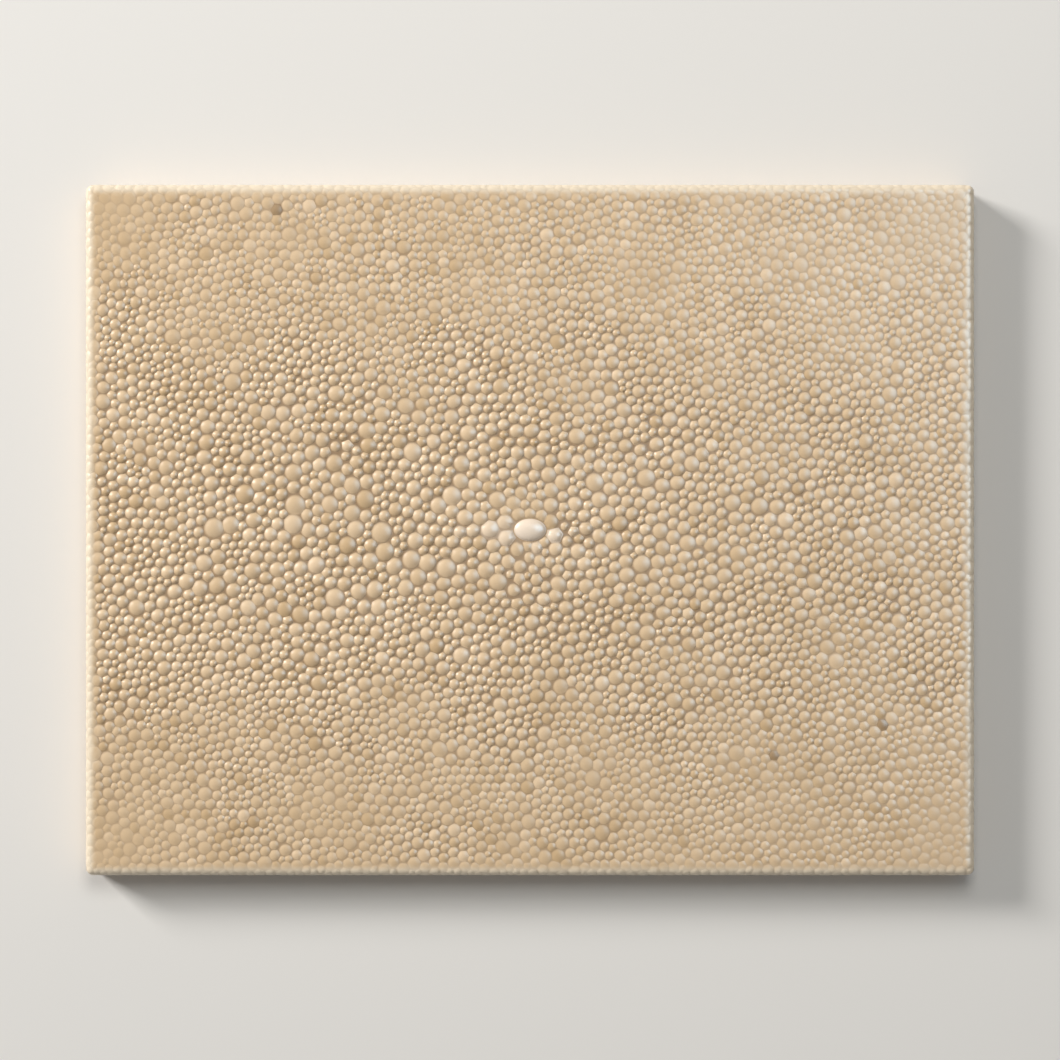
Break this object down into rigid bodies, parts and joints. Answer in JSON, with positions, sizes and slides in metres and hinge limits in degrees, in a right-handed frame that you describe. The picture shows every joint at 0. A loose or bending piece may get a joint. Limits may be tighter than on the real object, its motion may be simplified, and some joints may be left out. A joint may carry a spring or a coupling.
{
  "type": "shagreen wall panel",
  "caption": "Rectangular wall panel: a fibreboard slab wrapped in pale beige shagreen, with a beaded face and a row of ivory pearl beads along its middle.",
  "frame": {"origin": "centre of the panel's outline, on the plane of its back", "axes": "+Z out of the beaded face, +X along the long side and the row of pearls, +Y along the short side"},
  "size_m": [0.229, 0.178, 0.0115],
  "materials": {
    "board": "sawn and sanded fibreboard, unfinished",
    "shagreen": "beaded ray hide, dyed pale beige, satin lacquer"
  },
  "bodies": {
    "root": {"backing_board": "board", "shagreen_hide": "shagreen"}
  },
  "joints": []
}
